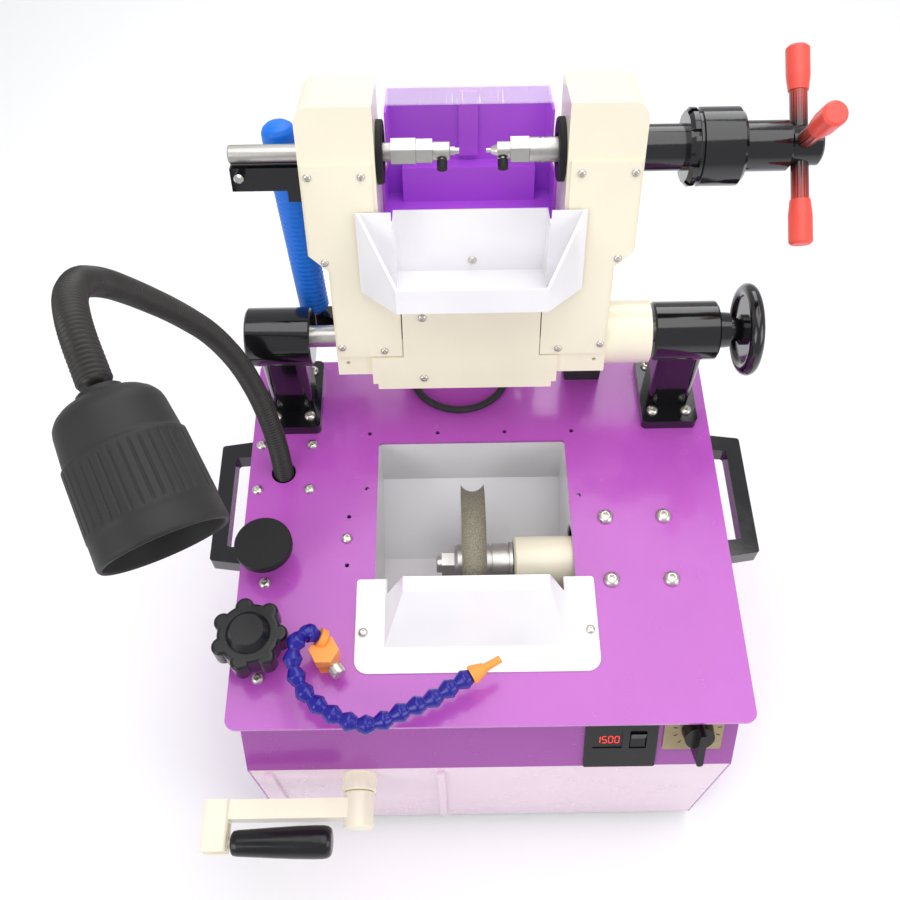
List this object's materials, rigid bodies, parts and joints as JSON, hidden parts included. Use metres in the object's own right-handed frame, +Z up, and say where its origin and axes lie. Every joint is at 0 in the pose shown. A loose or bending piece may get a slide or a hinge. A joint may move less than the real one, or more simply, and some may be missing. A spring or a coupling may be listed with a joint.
{
  "type": "bead grinding machine",
  "caption": "Benchtop grinding machine: cased table with a grooved wheel in a well, swing-over twin-spindle head, crank feed, lamp and coolant hose.",
  "frame": {"origin": "on the floor, under the middle of the case", "axes": "+X to the operator's right, -Y out of the front with the crank, +Z up"},
  "size_m": [0.5305, 0.5733, 0.7496],
  "materials": {
    "cream_paint": "smooth semi-gloss paint",
    "purple_paint": "gloss paint",
    "orchid_paint": "gloss paint",
    "white_paint": "smooth paint",
    "gloss_black": "gloss enamel",
    "black_plastic": "moulded gloss",
    "matte_black": "fine matte",
    "steel": "turned and ground",
    "galvanised": "plain sheet",
    "dark_casting": "painted casting",
    "chrome": "polished",
    "grinding_grit": "gritty plated groove",
    "rubber": "moulded",
    "red_grip": "soft grips on steel arms",
    "blue_grip": "ribbed grip on a steel bar",
    "hose_blue": "jointed segments",
    "orange_plastic": "moulded",
    "clear_plastic": "clear sheet",
    "tan_plate": "satin plate",
    "belt_rubber": "belt"
  },
  "bodies": {
    "base": {"case_shell": "purple_paint", "front_panel": "purple_paint", "chassis": "galvanised", "deck_plate": "orchid_paint", "deck_brackets": "galvanised", "well_liner": "white_paint", "wheel_hood": "white_paint", "table_screws": "chrome", "rubber_buffers": "rubber", "carry_handles": "gloss_black", "mains_inlet": "matte_black", "switch_plate": "black_plastic", "rotary_plate": "tan_plate", "crank_bush": "cream_paint", "left_pedestal": "gloss_black", "right_pedestal": "gloss_black", "gooseneck": "matte_black", "lamp_head": "black_plastic", "hose_fittings": "orange_plastic", "coolant_hose": "hose_blue", "head_cable": "rubber"},
    "carriage": {"feed_carriage": "galvanised", "spindle_housing": "cream_paint", "wheel_motor": "dark_casting", "wheel_belt": "belt_rubber"},
    "wheel": {"grinding_wheel": "grinding_grit", "wheel_clamp": "steel", "wheel_arbor": "steel"},
    "motor_rotor": {"motor_rotor": "steel"},
    "crank": {"crank_arm": "cream_paint", "feed_screw": "steel"},
    "grip_link": {"grip_link": "cream_paint"},
    "crank_grip": {"crank_grip": "black_plastic"},
    "depth_knob": {"depth_knob": "black_plastic"},
    "depth_stop": {"depth_stop": "matte_black"},
    "rotary_knob": {"rotary_knob": "black_plastic"},
    "power_rocker": {"power_rocker": "black_plastic"},
    "valve_stem": {"valve_stem": "chrome"},
    "handwheel": {"handwheel": "gloss_black"},
    "swing_shaft": {"swing_shaft": "steel"},
    "head": {"head_casting": "cream_paint", "head_covers": "cream_paint", "head_screws": "chrome", "spindle_housings": "matte_black", "head_motor": "dark_casting", "head_belts": "belt_rubber", "tail_barrel": "steel", "splash_box": "purple_paint", "splash_tray": "white_paint", "stop_bracket": "gloss_black", "swing_handle": "blue_grip"},
    "left_spindle": {"left_spindle": "steel"},
    "right_pulley": {"right_pulley": "steel"},
    "right_spindle": {"right_spindle": "steel"},
    "tail_quill": {"tail_quill": "steel"},
    "cross_shaft": {"cross_shaft": "steel"},
    "head_motor_rotor": {"head_motor_rotor": "steel"},
    "tail_handle": {"tail_handle": "red_grip"},
    "lock_ring": {"lock_ring": "gloss_black"},
    "clear_lid": {"clear_lid": "clear_plastic"}
  },
  "joints": [
    {"name": "crank_turn", "type": "hinge", "parent": "base", "child": "crank", "pos_m": [-0.118, -0.2, 0.194], "axis": [0, -1, 0], "range_deg": [-900, 900]},
    {"name": "wheel_feed", "type": "slide", "parent": "base", "child": "carriage", "axis": [0, -1, 0], "range_m": [-0.01, 0.01]},
    {"name": "grip_fold", "type": "hinge", "parent": "crank", "child": "grip_link", "pos_m": [-0.245, -0.2535, 0.194], "axis": [0, 0, -1], "range_deg": [0, 90]},
    {"name": "grip_spin", "type": "hinge", "parent": "grip_link", "child": "crank_grip", "pos_m": [-0.2304, -0.2535, 0.194], "axis": [1, 0, 0], "continuous": true},
    {"name": "wheel_spin", "type": "hinge", "parent": "carriage", "child": "wheel", "pos_m": [-0.0106, -0.0175, 0.264], "axis": [1, 0, 0], "continuous": true},
    {"name": "motor_spin", "type": "hinge", "parent": "carriage", "child": "motor_rotor", "pos_m": [0.15, -0.0175, 0.084], "axis": [1, 0, 0], "continuous": true},
    {"name": "depth_turn", "type": "hinge", "parent": "base", "child": "depth_knob", "pos_m": [-0.203, -0.111, 0.32], "axis": [0, 0, 1], "range_deg": [-960, 960]},
    {"name": "depth_lift", "type": "slide", "parent": "base", "child": "depth_stop", "axis": [0, 0, 1], "range_m": [-0.004, 0.004]},
    {"name": "rotary_turn", "type": "hinge", "parent": "base", "child": "rotary_knob", "pos_m": [0.182, -0.17407, 0.25432], "axis": [0, -0.8921, 0.4518], "range_deg": [-135, 135]},
    {"name": "power_rock", "type": "hinge", "parent": "base", "child": "power_rocker", "pos_m": [0.131, -0.17771, 0.24383], "axis": [1, 0, 0], "range_deg": [-8, 8]},
    {"name": "valve_turn", "type": "hinge", "parent": "base", "child": "valve_stem", "pos_m": [-0.14, -0.123, 0.312], "axis": [0.6, -0.8, 0], "range_deg": [0, 90]},
    {"name": "handwheel_turn", "type": "hinge", "parent": "base", "child": "handwheel", "pos_m": [0.24, 0.152, 0.399], "axis": [1, 0, 0], "range_deg": [-720, 720]},
    {"name": "head_shift", "type": "slide", "parent": "base", "child": "swing_shaft", "axis": [1, 0, 0], "range_m": [-0.003, 0.003]},
    {"name": "head_swing", "type": "hinge", "parent": "swing_shaft", "child": "head", "pos_m": [-0.0105, 0.152, 0.399], "axis": [1, 0, 0], "range_deg": [0, 125]},
    {"name": "left_spin", "type": "hinge", "parent": "head", "child": "left_spindle", "pos_m": [-0.0105, 0.20701, 0.56829], "axis": [1, 0, 0], "continuous": true},
    {"name": "right_pulley_spin", "type": "hinge", "parent": "head", "child": "right_pulley", "pos_m": [-0.0105, 0.20701, 0.56829], "axis": [1, 0, 0], "continuous": true},
    {"name": "quill_slide", "type": "slide", "parent": "head", "child": "tail_quill", "axis": [1, 0, 0], "range_m": [-0.009, 0.015]},
    {"name": "right_spin", "type": "hinge", "parent": "tail_quill", "child": "right_spindle", "pos_m": [-0.0105, 0.20701, 0.56829], "axis": [1, 0, 0], "continuous": true},
    {"name": "cross_spin", "type": "hinge", "parent": "head", "child": "cross_shaft", "pos_m": [-0.0105, 0.16374, 0.43514], "axis": [1, 0, 0], "continuous": true},
    {"name": "head_motor_spin", "type": "hinge", "parent": "head", "child": "head_motor_rotor", "pos_m": [-0.0105, 0.24458, 0.40887], "axis": [1, 0, 0], "continuous": true},
    {"name": "tail_turn", "type": "hinge", "parent": "head", "child": "tail_handle", "pos_m": [0.2545, 0.20701, 0.56829], "axis": [1, 0, 0], "range_deg": [-40, 70]},
    {"name": "lock_turn", "type": "hinge", "parent": "head", "child": "lock_ring", "pos_m": [0.1845, 0.20701, 0.56829], "axis": [1, 0, 0], "range_deg": [0, 30]},
    {"name": "lid_open", "type": "hinge", "parent": "head", "child": "clear_lid", "pos_m": [-0.0105, 0.28504, 0.51559], "axis": [-1, 0, 0], "range_deg": [0, 100]}
  ],
  "couplings": [
    {"joint": "wheel_feed", "follows": "crank_turn", "m_per_rad": 0.0006366},
    {"joint": "motor_spin", "follows": "wheel_spin", "ratio": 1.375},
    {"joint": "depth_turn", "follows": "depth_lift", "rad_per_m": 4188},
    {"joint": "handwheel_turn", "follows": "head_shift", "rad_per_m": 4188},
    {"joint": "right_pulley_spin", "follows": "left_spin", "ratio": 1},
    {"joint": "right_spin", "follows": "left_spin", "ratio": 1},
    {"joint": "cross_spin", "follows": "left_spin", "ratio": 1.5789},
    {"joint": "head_motor_spin", "follows": "left_spin", "ratio": 1.5789},
    {"joint": "tail_turn", "follows": "quill_slide", "rad_per_m": 77.5}
  ]
}
